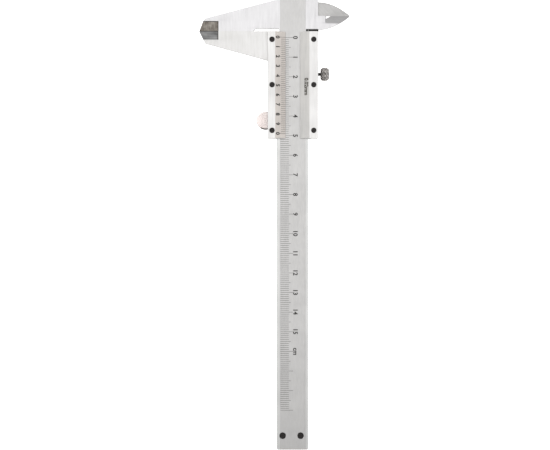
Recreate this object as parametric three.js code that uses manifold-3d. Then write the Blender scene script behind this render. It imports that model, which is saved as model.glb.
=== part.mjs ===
// Vernier caliper, 150 mm, lying on its back with its graduated face up.
//
// Millimetres. +Y runs along the beam towards the head, +X towards the inside
// jaws and +Z out of the graduated face. The layout below is worked out from
// three data: X = 0 on the beam's centre line, Y = 0 on the outside jaws'
// closed faces, and Z = 0 on the surface that the caliper rests on. The whole
// is then moved so that the origin is under the middle of its box.

import * as THREE from 'three';
import { mergeVertices } from 'three/addons/utils/BufferGeometryUtils.js';
import Module from 'manifold-3d';

const wasm = await Module();
wasm.setup();

// ---------------------------------------------------------------- dimensions

const SEAT_GAP = 0.02; // between two fixed faces that bear on each other
const RUN_GAP = 0.1; // between two faces that slide on each other
const OVERCUT = 1; // how far a cutting tool passes its surface
const ROUND_SIDES = 24;
const CURVE_STEPS = 10;

const BEAM_WIDTH = 16;
const BEAM_THICK = 3.5;
const BEAM_END = -213.4;
const HEAD_TOP = 17.4;
const BEAM_END_CHAMFER = 0.6;
const BAND_LEFT = -6.3; // satin band sunk between the two bright rails
const BAND_RIGHT = 6.65;
const BAND_DEPTH = 0.2;

const BACK_PLATE_THICK = 2;
const BEAM_BACK = BACK_PLATE_THICK + RUN_GAP;
const BEAM_FRONT = BEAM_BACK + BEAM_THICK;
const BEAM_MIDDLE = (BEAM_BACK + BEAM_FRONT) / 2;
const BEAM_EDGE = BEAM_WIDTH / 2;

const JAW_REACH = 47.6; // tip of the outside jaws, from the centre line
const JAW_RELIEF_START = 20.1; // the contact faces end here
const JAW_RELIEF_HEIGHT = 1.43;
const JAW_SHOULDER = 45.5; // where the end faces turn into the outer edges
const FIXED_SHOULDER_HEIGHT = 5.2;
const FIXED_JAW_ROOT_HEIGHT = 16.2;
const FIXED_JAW_OUTER = [44.6, 6.5];
const MOVING_SHOULDER_HEIGHT = 4.3;
const MOVING_JAW_OUTER = [44.6, 6.04];
const MOVING_JAW_ROOT_HEIGHT = 14.8;

const TIP_BEVEL_START = 37.75; // the thinned tips run from here outwards
const FIXED_TIP_BEVEL = 5.15;
const MOVING_TIP_BEVEL = 4.33;
const TIP_BEVEL_DEPTH = 1.15; // off the front and off the back

const BLADE_REACH = 29.2; // tip of the inside jaws
const BLADE_LINE = 7.85; // the line where the two knife edges meet
const BLADE_TIP = 0.35; // blunt end of each knife edge
const HEAD_CHEEK = 13.05; // right edge of the head and root of the fixed blade
const HEAD_STEP = 1.1; // underside of the head on the right
const FIXED_BLADE_LOW = 0.76;
const ARM_EDGE = 13.3; // right edge of the moving blade's arm
const MOVING_BLADE_TOP = 15;
const KNIFE_START = 16.7;
const KNIFE_WIDTH = 3.8;
const KNIFE_LAND = 0.3;
const BLADE_RELIEF = { start: 17, end: 21.4, depth: 1.3 }; // notch at the fixed knife edge's root

const NOTCH_EDGE = 6.9; // notches in the beam's edges: through on the left, half deep on the right
const SLIDER_TOP = -0.36;
const SLIDER_LENGTH = 54.24;
const SLIDER_END = SLIDER_TOP - SLIDER_LENGTH;
const SLIDER_LEFT = -12.6;
const SLIDER_RIGHT = 13;
const RIGHT_WALL = 9.35;
const WALL_TOP = BEAM_FRONT + RUN_GAP;
const TRAVEL = 150;

const PLATE_SEAT = WALL_TOP + SEAT_GAP;
const PLATE_TOP = 7.9;
const PLATE_EDGE = 0.3; // thickness of each bevel's thin edge
const VERNIER_EDGE = -3.5;
const VERNIER_CREST = -8.8;
const COVER_EDGE = 3.85;
const COVER_CREST = 8.6;

const PLATE_SCREW_LEFT = -10.4;
const PLATE_SCREW_RIGHT = 10.8;
const PLATE_SCREW_ROWS = [-4.45, -27.5, -50.7];
const PLATE_SCREW = { head: 1.3, headHeight: 0.75, shank: 0.75, slot: 0.4, depth: 3.4 };
const SINK = 0.25; // how far a screw head sits below its surface
const HOLE_PLAY = 0.1;

const END_SCREWS = [-5, 4.15];
const END_SCREW_ROW = -206.2;
const END_SCREW = { head: 1.6, headHeight: 0.8, shank: 0.95, slot: 0.45, depth: 3.2 };
const STOP_TOP = SLIDER_END - TRAVEL - 0.4;
const STOP_END = BEAM_END + 0.4;

const ROD_WIDTH = 3.6;
const ROD_THICK = 1.5;
const ROD_PLAY = 0.15;
const ROD_FOOT_TOP = -42;
const ROD_FOOT_LENGTH = 8;
const ROD_RIVET_ROWS = [-44, -48];
const ROD_RIVET = { head: 1.2, headHeight: 0.5, shank: 0.6, depth: 2.2 };
const GROOVE_TOP = -40;

const THUMB_CENTRE = [-13.8, -45.6];
const THUMB_RADIUS = 4.6;
const THUMB_LOW = 1.2;
const THUMB_HIGH = 5.4;
const THUMB_CHAMFER = 0.4;
const THUMB_PIN = [-10.9, -45.6];
const THUMB_PIN_RADIUS = 0.75;
const THUMB_PIN_LOW = 0.4;

const GIB_EDGE = 8.25; // the leaf's inner face, unlocked
const GIB_THICK = 0.8;
const GIB_TOP = -2;
const GIB_END = -53;
const GIB_DIMPLE = { radius: 1.1, depth: 0.25 };
const GIB_SCREW_ROWS = [-11.5, -42.5];
const GIB_SCREW = { radius: 0.95, slot: 0.4, slotDepth: 0.5, inset: 0.15 };

const LOCK_ROW = -21.85;
const LOCK_HEIGHT = BEAM_MIDDLE;
const LOCK_STEM = 1; // M2 thread
const LOCK_NECK = 0.75; // between the thread and the knob
const LOCK_NECK_END = 14.35;
const KNOB_RADIUS = 3.5;
const KNOB_WIDTH = 4.35;
const KNOB_ROUND = 1.1;

// ------------------------------------------------------------------ finishes

const FINISH = {
  beam: { color: 0xc9c6c0, roughness: 0.38, metalness: 1 },
  slider: { color: 0xe6e6e4, roughness: 0.3, metalness: 1 },
  plate: { color: 0xdcd9d4, roughness: 0.32, metalness: 1 },
  screw: { color: 0x1f1d1c, roughness: 0.5, metalness: 0.8 },
  knob: { color: 0xa6a3a1, roughness: 0.35, metalness: 1 },
  thumb: { color: 0xe2d8d4, roughness: 0.35, metalness: 1 },
  rod: { color: 0xc4c4c2, roughness: 0.35, metalness: 1 },
  gib: { color: 0xb9924c, roughness: 0.4, metalness: 1 },
};

// ------------------------------------------------------------------- helpers

/** A closed geometry as a solid that can be joined and cut. */
function solidOf(geometry) {
  const bare = geometry.clone();
  bare.deleteAttribute('normal');
  bare.deleteAttribute('uv');
  const merged = mergeVertices(bare, 1e-5);
  const vertProperties = new Float32Array(merged.attributes.position.array);
  const triVerts = new Uint32Array(merged.index.array);
  return new wasm.Manifold(new wasm.Mesh({ numProp: 3, vertProperties, triVerts }));
}

/** A solid back as a geometry with flat shading. */
function geometryOf(solid) {
  const mesh = solid.getMesh();
  const geometry = new THREE.BufferGeometry();
  geometry.setAttribute('position', new THREE.BufferAttribute(mesh.vertProperties, 3));
  geometry.setIndex(new THREE.BufferAttribute(mesh.triVerts, 1));
  geometry.computeVertexNormals();
  return geometry;
}

function joined(first, ...others) {
  return others.reduce((whole, other) => whole.add(other), first);
}

function cut(blank, ...tools) {
  return tools.reduce((rest, tool) => rest.subtract(tool), blank);
}

function shapeOf(points) {
  return new THREE.Shape(points.map(([x, y]) => new THREE.Vector2(x, y)));
}

/** An outline in X and Y, raised from one height to another. */
function slab(outline, low, high) {
  const shape = outline instanceof THREE.Shape ? outline : shapeOf(outline);
  const options = { depth: high - low, bevelEnabled: false, curveSegments: CURVE_STEPS };
  const geometry = new THREE.ExtrudeGeometry(shape, options);
  return solidOf(geometry.translate(0, 0, low));
}

/** A rectangular block between two corners. */
function block(x0, x1, y0, y1, z0, z1) {
  const geometry = new THREE.BoxGeometry(x1 - x0, y1 - y0, z1 - z0);
  return solidOf(geometry.translate((x0 + x1) / 2, (y0 + y1) / 2, (z0 + z1) / 2));
}

/** A profile in X and Z, run along Y from y1 down to y0. */
function barAlongY(profile, y0, y1) {
  const geometry = new THREE.ExtrudeGeometry(shapeOf(profile), { depth: y1 - y0, bevelEnabled: false });
  geometry.rotateX(Math.PI / 2);
  return solidOf(geometry.translate(0, y1, 0));
}

/** A profile in Y and Z, run along X from x0 to x1. */
function barAlongX(profile, x0, x1) {
  const geometry = new THREE.ExtrudeGeometry(shapeOf(profile), { depth: x1 - x0, bevelEnabled: false });
  const turn = new THREE.Matrix4().makeBasis(
    new THREE.Vector3(0, 1, 0),
    new THREE.Vector3(0, 0, 1),
    new THREE.Vector3(1, 0, 0),
  );
  geometry.applyMatrix4(turn);
  return solidOf(geometry.translate(x0, 0, 0));
}

/** A solid of revolution about Z, from [radius, height] pairs that start and end on the axis. */
function turned(profile) {
  const points = profile.map(([radius, height]) => new THREE.Vector2(radius, height));
  const geometry = new THREE.LatheGeometry(points, ROUND_SIDES);
  return solidOf(geometry.rotateX(Math.PI / 2));
}

/** A plain round bar standing on [x, y]. */
function post(x, y, radius, low, high) {
  return turned([[0, low], [radius, low], [radius, high], [0, high]]).translate([x, y, 0]);
}

/** Turns a solid made about +Z so that its axis runs along +X. */
function towardsX(solid) {
  return solid.rotate([0, 90, 0]);
}

/** The stepped hole that takes a headed screw from above. */
function screwHole(screw, x, y, surface, floor) {
  const seat = surface - SINK - screw.headHeight;
  return joined(
    post(x, y, screw.head + HOLE_PLAY, seat - SEAT_GAP, surface + OVERCUT),
    post(x, y, screw.shank + HOLE_PLAY, floor, surface),
  );
}

/** A slotted cheese-head screw whose head sits just below the given surface. */
function slottedScrew(screw, x, y, surface) {
  const top = surface - SINK;
  const seat = top - screw.headHeight;
  const body = turned([
    [0, seat - screw.depth],
    [screw.shank, seat - screw.depth],
    [screw.shank, seat],
    [screw.head, seat],
    [screw.head, top],
    [0, top],
  ]);
  const half = screw.slot / 2;
  const wide = screw.head * 2;
  const slot = block(-wide, wide, -half, half, top - screw.headHeight / 2, top + OVERCUT);
  return cut(body, slot).translate([x, y, 0]);
}

// ---------------------------------------------------------------------- beam

/** The outline shared by the beam, its head and the fixed outside jaw. */
function beamOutline() {
  return [
    [BEAM_EDGE - BEAM_END_CHAMFER, BEAM_END],
    [BEAM_EDGE, BEAM_END + BEAM_END_CHAMFER],
    [BEAM_EDGE, HEAD_TOP],
    [-BEAM_EDGE, HEAD_TOP],
    [-BEAM_EDGE, FIXED_JAW_ROOT_HEIGHT],
    [-FIXED_JAW_OUTER[0], FIXED_JAW_OUTER[1]],
    [-JAW_SHOULDER, FIXED_SHOULDER_HEIGHT],
    [-JAW_REACH, 0],
    [-JAW_RELIEF_START, 0],
    [-JAW_RELIEF_START + JAW_RELIEF_HEIGHT, JAW_RELIEF_HEIGHT],
    [-NOTCH_EDGE, JAW_RELIEF_HEIGHT],
    [-NOTCH_EDGE, SLIDER_TOP],
    [-BEAM_EDGE, SLIDER_TOP],
    [-BEAM_EDGE, BEAM_END + BEAM_END_CHAMFER],
    [-BEAM_EDGE + BEAM_END_CHAMFER, BEAM_END],
  ];
}

/** The head's right cheek with the fixed inside blade: the front half of the thickness. */
function fixedBladeOutline() {
  const shape = new THREE.Shape();
  shape.moveTo(BEAM_EDGE - OVERCUT, HEAD_STEP);
  shape.lineTo(HEAD_CHEEK, HEAD_STEP);
  shape.lineTo(HEAD_CHEEK, FIXED_BLADE_LOW);
  const middle = (HEAD_CHEEK + BLADE_REACH) / 2;
  shape.quadraticCurveTo(middle, FIXED_BLADE_LOW, BLADE_REACH, BLADE_LINE - BLADE_TIP);
  shape.lineTo(BLADE_REACH, BLADE_LINE);
  shape.lineTo(HEAD_CHEEK, BLADE_LINE);
  shape.lineTo(HEAD_CHEEK, HEAD_TOP);
  shape.lineTo(BEAM_EDGE - OVERCUT, HEAD_TOP);
  return shape;
}

/** The small notch that clears the root of the fixed knife edge. */
function bladeReliefOutline() {
  const { start, end, depth } = BLADE_RELIEF;
  const shape = new THREE.Shape();
  shape.moveTo(start, BLADE_LINE + OVERCUT);
  shape.lineTo(start, BLADE_LINE - depth);
  shape.lineTo(start + depth / 4, BLADE_LINE - depth);
  shape.lineTo(end, BLADE_LINE + OVERCUT);
  return shape;
}

/** Wedges that thin an outside jaw's tip from its front and its back. side is 1 or -1. */
function tipWedges(side, height) {
  const faces = [[BEAM_FRONT, -1], [BEAM_BACK, 1]];
  return faces.map(([face, inward]) => {
    const profile = [
      [side * height, face],
      [0, face + inward * TIP_BEVEL_DEPTH],
      [-side * OVERCUT, face + inward * TIP_BEVEL_DEPTH],
      [-side * OVERCUT, face - inward * OVERCUT],
      [side * height, face - inward * OVERCUT],
    ];
    if (side * inward > 0) profile.reverse();
    return barAlongX(profile, -JAW_REACH - OVERCUT, -TIP_BEVEL_START);
  });
}

/** A wedge that grinds a knife edge: from the face, at start, down to the land at the blade line. */
function knifeWedge(start, face, land) {
  const outside = face > land ? face + OVERCUT : face - OVERCUT;
  const beyond = start < BLADE_LINE ? BLADE_LINE + OVERCUT : BLADE_LINE - OVERCUT;
  const profile = [[start, face], [BLADE_LINE, land], [beyond, land], [beyond, outside], [start, outside]];
  return barAlongX(profile, KNIFE_START, BLADE_REACH + OVERCUT);
}

function mainBeam() {
  const bar = joined(
    slab(beamOutline(), BEAM_BACK, BEAM_FRONT),
    slab(fixedBladeOutline(), BEAM_MIDDLE + RUN_GAP / 2, BEAM_FRONT),
  );
  const bandLow = BEAM_FRONT - BAND_DEPTH;
  const band = block(
    BAND_LEFT, BAND_RIGHT,
    BEAM_END - OVERCUT, HEAD_TOP + OVERCUT,
    bandLow, BEAM_FRONT + OVERCUT,
  );
  const grooveHalf = ROD_WIDTH / 2 + ROD_PLAY;
  const grooveHigh = BEAM_BACK + ROD_THICK + 2 * ROD_PLAY;
  const groove = block(
    -grooveHalf, grooveHalf,
    BEAM_END - OVERCUT, GROOVE_TOP,
    BEAM_BACK - OVERCUT, grooveHigh,
  );
  const land = BEAM_MIDDLE + RUN_GAP / 2 + KNIFE_LAND;
  const knife = knifeWedge(BLADE_LINE - KNIFE_WIDTH, BEAM_FRONT, land);
  const notch = block(
    NOTCH_EDGE, BEAM_EDGE + OVERCUT,
    SLIDER_TOP, HEAD_STEP,
    BEAM_MIDDLE, BEAM_FRONT + OVERCUT,
  );
  const relief = slab(bladeReliefOutline(), BEAM_MIDDLE, BEAM_FRONT + OVERCUT);
  const holes = END_SCREWS.map(x => screwHole(END_SCREW, x, END_SCREW_ROW, bandLow, BEAM_BACK - OVERCUT));
  return cut(bar, band, groove, knife, notch, relief, ...tipWedges(1, FIXED_TIP_BEVEL), ...holes);
}

function endStopPlate() {
  const plate = block(-BEAM_EDGE, BEAM_EDGE, STOP_END, STOP_TOP, 0, BEAM_BACK - SEAT_GAP);
  const seat = BEAM_FRONT - BAND_DEPTH - SINK - END_SCREW.headHeight;
  const floor = seat - END_SCREW.depth - HOLE_PLAY;
  const holes = END_SCREWS.map(x => post(x, END_SCREW_ROW, END_SCREW.shank + HOLE_PLAY, floor, BEAM_FRONT));
  return cut(plate, ...holes);
}

// -------------------------------------------------------------------- slider

/** The moving outside jaw and the wall that it grows from. */
function movingJawOutline() {
  return [
    [-BEAM_EDGE - RUN_GAP, 0],
    [-JAW_REACH, 0],
    [-JAW_SHOULDER, -MOVING_SHOULDER_HEIGHT],
    [-MOVING_JAW_OUTER[0], -MOVING_JAW_OUTER[1]],
    [SLIDER_LEFT, -MOVING_JAW_ROOT_HEIGHT],
    [SLIDER_LEFT, SLIDER_END],
    [-BEAM_EDGE - RUN_GAP, SLIDER_END],
  ];
}

/** The moving inside blade and the arm that carries it behind the head. */
function movingBladeOutline() {
  const shape = new THREE.Shape();
  shape.moveTo(RIGHT_WALL, SLIDER_TOP - OVERCUT);
  shape.lineTo(ARM_EDGE, SLIDER_TOP - OVERCUT);
  shape.lineTo(ARM_EDGE, BLADE_LINE);
  shape.lineTo(BLADE_REACH, BLADE_LINE);
  shape.lineTo(BLADE_REACH, BLADE_LINE + BLADE_TIP);
  const middle = (ARM_EDGE + BLADE_REACH) / 2;
  shape.quadraticCurveTo(middle, MOVING_BLADE_TOP, ARM_EDGE, MOVING_BLADE_TOP);
  shape.lineTo(BEAM_EDGE + RUN_GAP, MOVING_BLADE_TOP);
  shape.lineTo(BEAM_EDGE + RUN_GAP, SLIDER_TOP);
  shape.lineTo(RIGHT_WALL, SLIDER_TOP);
  return shape;
}

function sliderFrame() {
  const frame = joined(
    block(SLIDER_LEFT, SLIDER_RIGHT, SLIDER_END, SLIDER_TOP, 0, BACK_PLATE_THICK),
    slab(movingJawOutline(), BEAM_BACK, BEAM_FRONT),
    block(SLIDER_LEFT, -BEAM_EDGE - RUN_GAP, SLIDER_END, SLIDER_TOP, OVERCUT, WALL_TOP),
    block(RIGHT_WALL, SLIDER_RIGHT, SLIDER_END, SLIDER_TOP, OVERCUT, WALL_TOP),
    slab(movingBladeOutline(), BEAM_BACK, BEAM_MIDDLE - RUN_GAP / 2),
  );
  const bladeLand = BEAM_MIDDLE - RUN_GAP / 2 - KNIFE_LAND;
  const knife = knifeWedge(BLADE_LINE + KNIFE_WIDTH, BEAM_BACK, bladeLand);
  const screwSeat = PLATE_TOP - SINK - PLATE_SCREW.headHeight;
  const screwFloor = screwSeat - PLATE_SCREW.depth - HOLE_PLAY;
  const screwHoles = plateScrewPlaces().map(([x, y]) => (
    post(x, y, PLATE_SCREW.shank + HOLE_PLAY, screwFloor, PLATE_TOP)
  ));
  const rivetHoles = ROD_RIVET_ROWS.map(y => rivetHole(y));
  const pocket = post(...THUMB_CENTRE, THUMB_RADIUS + HOLE_PLAY, THUMB_LOW - SEAT_GAP, PLATE_TOP);
  const pinHole = post(...THUMB_PIN, THUMB_PIN_RADIUS + HOLE_PLAY, THUMB_PIN_LOW - SEAT_GAP, THUMB_HIGH);
  const sideHoles = [LOCK_ROW, ...GIB_SCREW_ROWS].map(y => sideHole(y));
  return cut(frame, knife, ...screwHoles, ...rivetHoles, pocket, pinHole, ...sideHoles,
    ...tipWedges(-1, MOVING_TIP_BEVEL));
}

/** A tapped hole through the right wall, in line with the middle of the leaf. */
function sideHole(y) {
  const radius = LOCK_STEM + HOLE_PLAY;
  const length = SLIDER_RIGHT - RIGHT_WALL + 2 * OVERCUT;
  const bar = towardsX(post(0, 0, radius, 0, length));
  return bar.translate([RIGHT_WALL - OVERCUT, y, LOCK_HEIGHT]);
}

function plateScrewPlaces() {
  const sides = [PLATE_SCREW_LEFT, PLATE_SCREW_RIGHT];
  return sides.flatMap(x => PLATE_SCREW_ROWS.map(y => [x, y]));
}

/** A front plate from its profile in X and Z, with stepped holes down one side. */
function frontPlate(profile, holeLine) {
  const bottom = WALL_TOP - OVERCUT;
  const holes = PLATE_SCREW_ROWS.map(y => screwHole(PLATE_SCREW, holeLine, y, PLATE_TOP, bottom));
  return cut(barAlongY(profile, SLIDER_END, SLIDER_TOP), ...holes);
}

function vernierPlate() {
  const profile = [
    [SLIDER_LEFT, PLATE_SEAT],
    [VERNIER_EDGE, PLATE_SEAT],
    [VERNIER_EDGE, PLATE_SEAT + PLATE_EDGE],
    [VERNIER_CREST, PLATE_TOP],
    [SLIDER_LEFT, PLATE_TOP],
  ];
  return frontPlate(profile, PLATE_SCREW_LEFT);
}

function coverPlate() {
  const profile = [
    [COVER_EDGE, PLATE_SEAT],
    [SLIDER_RIGHT, PLATE_SEAT],
    [SLIDER_RIGHT, PLATE_TOP],
    [COVER_CREST, PLATE_TOP],
    [COVER_EDGE, PLATE_SEAT + PLATE_EDGE],
  ];
  return frontPlate(profile, PLATE_SCREW_RIGHT);
}

// ----------------------------------------------------------------- depth rod

/** The stepped hole for a rod rivet, open at the back face. */
function rivetHole(y) {
  return joined(
    post(0, y, ROD_RIVET.head + HOLE_PLAY, -OVERCUT, ROD_RIVET.headHeight + SEAT_GAP),
    post(0, y, ROD_RIVET.shank + HOLE_PLAY, 0, ROD_RIVET.headHeight + ROD_RIVET.depth + HOLE_PLAY),
  );
}

function depthRod() {
  const half = ROD_WIDTH / 2;
  const low = BEAM_BACK + ROD_PLAY;
  const footEnd = ROD_FOOT_TOP - ROD_FOOT_LENGTH;
  const rod = joined(
    block(-half, half, BEAM_END, ROD_FOOT_TOP, low, low + ROD_THICK),
    block(-half, half, footEnd, ROD_FOOT_TOP, BACK_PLATE_THICK + SEAT_GAP, low + ROD_THICK / 2),
  );
  return cut(rod, ...ROD_RIVET_ROWS.map(y => rivetHole(y)));
}

function rodRivet(y) {
  const { head, headHeight, shank, depth } = ROD_RIVET;
  const rivet = turned([
    [0, 0],
    [head, 0],
    [head, headHeight],
    [shank, headHeight],
    [shank, headHeight + depth],
    [0, headHeight + depth],
  ]);
  return rivet.translate([0, y, 0]);
}

// ---------------------------------------------------------------- thumb rest

function thumbRest() {
  const disc = turned([
    [0, THUMB_LOW],
    [THUMB_RADIUS - THUMB_CHAMFER, THUMB_LOW],
    [THUMB_RADIUS, THUMB_LOW + THUMB_CHAMFER],
    [THUMB_RADIUS, THUMB_HIGH - THUMB_CHAMFER],
    [THUMB_RADIUS - THUMB_CHAMFER, THUMB_HIGH],
    [0, THUMB_HIGH],
  ]);
  const pinHole = post(...THUMB_PIN, THUMB_PIN_RADIUS + HOLE_PLAY, 0, PLATE_TOP);
  return cut(disc.translate([...THUMB_CENTRE, 0]), pinHole);
}

function thumbRestPin() {
  return post(...THUMB_PIN, THUMB_PIN_RADIUS, THUMB_PIN_LOW, THUMB_HIGH);
}

// ------------------------------------------------------- gib and lock screw

function gibLeaf() {
  const outer = GIB_EDGE + GIB_THICK;
  const leaf = block(GIB_EDGE, outer, GIB_END, GIB_TOP, BEAM_BACK + RUN_GAP, BEAM_FRONT - RUN_GAP);
  const dimple = towardsX(post(0, 0, GIB_DIMPLE.radius, 0, GIB_DIMPLE.depth + OVERCUT));
  return cut(leaf, dimple.translate([outer - GIB_DIMPLE.depth, LOCK_ROW, LOCK_HEIGHT]));
}

function gibScrew(y) {
  const start = GIB_EDGE + GIB_THICK + SEAT_GAP;
  const length = SLIDER_RIGHT - GIB_SCREW.inset - start;
  const half = GIB_SCREW.slot / 2;
  const wide = GIB_SCREW.radius * 2;
  const slot = block(-wide, wide, -half, half, length - GIB_SCREW.slotDepth, length + OVERCUT);
  const grub = cut(post(0, 0, GIB_SCREW.radius, 0, length), slot);
  return towardsX(grub).translate([start, y, LOCK_HEIGHT]);
}

/** Thumb screw along +X: stem through the right wall, then the round knob outside it. */
function lockScrew() {
  const tip = GIB_EDGE + GIB_THICK - GIB_DIMPLE.depth + SEAT_GAP;
  const thread = SLIDER_RIGHT + SEAT_GAP - tip;
  const neck = LOCK_NECK_END - tip;
  const end = neck + KNOB_WIDTH;
  const screw = turned([
    [0, 0],
    [LOCK_STEM - 0.3, 0],
    [LOCK_STEM, 0.3],
    [LOCK_STEM, thread],
    [LOCK_NECK, thread],
    [LOCK_NECK, neck],
    [KNOB_RADIUS - KNOB_ROUND, neck],
    [KNOB_RADIUS, neck + KNOB_ROUND],
    [KNOB_RADIUS, end - KNOB_ROUND],
    [KNOB_RADIUS - KNOB_ROUND, end],
    [0, end],
  ]);
  return towardsX(screw).translate([tip, LOCK_ROW, LOCK_HEIGHT]);
}

// ------------------------------------------------------------------ assembly

const caliper = new THREE.Group();

function addPiece(name, solid, finish) {
  const piece = new THREE.Mesh(geometryOf(solid), new THREE.MeshStandardMaterial(finish));
  piece.name = name;
  caliper.add(piece);
}

addPiece('main_beam', mainBeam(), FINISH.beam);
addPiece('end_stop_plate', endStopPlate(), FINISH.slider);
END_SCREWS.forEach((x, i) => {
  const screw = slottedScrew(END_SCREW, x, END_SCREW_ROW, BEAM_FRONT - BAND_DEPTH);
  addPiece(`end_screw_${i + 1}`, screw, FINISH.screw);
});

addPiece('slider_frame', sliderFrame(), FINISH.slider);
addPiece('vernier_plate', vernierPlate(), FINISH.plate);
addPiece('cover_plate', coverPlate(), FINISH.plate);
plateScrewPlaces().forEach(([x, y], i) => {
  addPiece(`plate_screw_${i + 1}`, slottedScrew(PLATE_SCREW, x, y, PLATE_TOP), FINISH.screw);
});

addPiece('depth_rod', depthRod(), FINISH.rod);
ROD_RIVET_ROWS.forEach((y, i) => addPiece(`depth_rod_rivet_${i + 1}`, rodRivet(y), FINISH.rod));
addPiece('thumb_rest', thumbRest(), FINISH.thumb);
addPiece('thumb_rest_pin', thumbRestPin(), FINISH.rod);

addPiece('gib_leaf', gibLeaf(), FINISH.gib);
GIB_SCREW_ROWS.forEach((y, i) => addPiece(`gib_screw_${i + 1}`, gibScrew(y), FINISH.screw));
addPiece('lock_screw', lockScrew(), FINISH.knob);

caliper.position.set((JAW_REACH - BLADE_REACH) / 2, -(HEAD_TOP + BEAM_END) / 2, 0);

export default caliper;
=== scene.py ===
"""A 150 mm vernier caliper: its finished surfaces, scales, knurls and screws.

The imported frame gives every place. Lengths in this file are in millimetres
until they meet a mesh, where MM turns them to metres. The layout is told from
three data, as on the drawing of the tool: x = 0 on the beam's centre line,
y = 0 on the closed faces of the outside jaws, z = 0 under the slider's back.
"""

from __future__ import annotations

import logging
import math
from collections.abc import Callable, Sequence
from dataclasses import dataclass
from enum import Enum

import bmesh
import bpy
from mathutils import Matrix, Vector


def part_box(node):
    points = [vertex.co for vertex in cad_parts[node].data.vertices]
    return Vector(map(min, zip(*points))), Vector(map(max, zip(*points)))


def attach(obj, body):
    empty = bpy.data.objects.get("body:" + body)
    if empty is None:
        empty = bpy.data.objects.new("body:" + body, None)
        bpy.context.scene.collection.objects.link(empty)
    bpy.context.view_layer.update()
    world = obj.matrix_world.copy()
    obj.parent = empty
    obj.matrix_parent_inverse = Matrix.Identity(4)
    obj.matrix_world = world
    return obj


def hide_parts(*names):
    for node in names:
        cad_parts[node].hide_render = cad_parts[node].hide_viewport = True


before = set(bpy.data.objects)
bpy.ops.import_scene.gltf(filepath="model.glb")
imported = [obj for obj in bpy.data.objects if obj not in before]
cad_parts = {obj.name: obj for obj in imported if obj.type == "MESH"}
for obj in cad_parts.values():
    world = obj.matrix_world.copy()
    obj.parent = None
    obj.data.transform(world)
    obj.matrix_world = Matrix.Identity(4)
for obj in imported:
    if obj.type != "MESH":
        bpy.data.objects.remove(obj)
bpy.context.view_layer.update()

MM = 0.001
LOG = logging.getLogger("caliper")
Colour = tuple[float, float, float, float]
Point = tuple[float, float, float]

# Places that the beam and the slider share, told from the drawing's data.
ZERO_LINE = -3.24  # y of both scales' zero, with the jaws closed
TIP_START = -37.5  # x where the outside jaws' thinned tips begin
TIP_RIM = -38.15  # x where the rim round each tip's ground face ends
PLATE_SETBACK = 0.36  # from the closed jaw faces down to the front plates' upper end
BAND_DEPTH = 0.2  # how far the satin band is sunk below the rails
MARK_SINK = 0.003  # how far the foot of a mark sits in its face; the rest shows


# ------------------------------------------------------------------- helpers


def linear(hex_colour: str) -> Colour:
    """Turns an sRGB hex colour into the linear one that a shader takes.

    Args:
        hex_colour: Six hex digits, with or without a leading #.

    Returns:
        Linear red, green, blue and an alpha of 1.
    """
    digits = hex_colour.lstrip("#")
    parts = [int(digits[i : i + 2], 16) / 255 for i in (0, 2, 4)]
    red, green, blue = (
        c / 12.92 if c <= 0.04045 else ((c + 0.055) / 1.055) ** 2.4 for c in parts
    )
    return (red, green, blue, 1.0)


def add_node(
    tree: bpy.types.NodeTree,
    kind: str,
    inputs: dict[str | int, object] | None = None,
    **settings: object,
) -> bpy.types.Node:
    """Adds one node with its settings, input values and incoming links.

    Args:
        tree: The shader or geometry tree.
        kind: The node's type name.
        inputs: Values, or output sockets to link, by input name or number.
        **settings: Properties of the node itself.

    Returns:
        The new node.
    """
    node = tree.nodes.new(kind)
    for name, value in settings.items():
        setattr(node, name, value)
    for key, value in (inputs or {}).items():
        if isinstance(value, bpy.types.NodeSocket):
            tree.links.new(value, node.inputs[key])
        else:
            node.inputs[key].default_value = value
    return node


def new_object(name: str, mesh: bpy.types.Mesh) -> bpy.types.Object:
    """Links a mesh into the scene as an object at the origin.

    Args:
        name: The object's name.
        mesh: Its mesh.

    Returns:
        The new object.
    """
    piece = bpy.data.objects.new(name, mesh)
    bpy.context.scene.collection.objects.link(piece)
    return piece


def bake_modifiers(piece: bpy.types.Object) -> bpy.types.Object:
    """Turns an object's modifiers into plain mesh and drops them.

    Args:
        piece: The object.

    Returns:
        The same object.
    """
    depsgraph = bpy.context.evaluated_depsgraph_get()
    mesh = bpy.data.meshes.new_from_object(piece.evaluated_get(depsgraph))
    mesh.name = piece.name
    piece.modifiers.clear()
    piece.data = mesh
    return piece


def shade_smooth(mesh: bpy.types.Mesh, degrees: float) -> None:
    """Shades a mesh smooth, but keeps edges sharper than the angle crisp.

    Args:
        mesh: The mesh to change.
        degrees: Edges that turn more than this stay crisp.
    """
    mesh.polygons.foreach_set("use_smooth", [True] * len(mesh.polygons))
    mesh.set_sharp_from_angle(angle=math.radians(degrees))
    mesh.update()


def mount(piece: bpy.types.Object, body: str, slot: str, *nodes: str) -> bpy.types.Object:
    """Fixes a piece to its body and hides the CAD nodes it stands for.

    Args:
        piece: The object.
        body: The body that it rides on.
        slot: The record's finish slot. Not used.
        nodes: CAD nodes that it stands for.

    Returns:
        The same object.
    """
    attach(piece, body)
    if nodes:
        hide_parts(*nodes)
    LOG.info("%s rides on %s with %d faces", piece.name, body, len(piece.data.polygons))
    return piece


# ------------------------------------------------------------------ finishes


class Along(Enum):
    """Direction of the tool marks in the plane of the face, as an angle from +Y."""

    LENGTH = 0.0
    WIDTH = 90.0
    SLANT = 40.0


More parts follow.
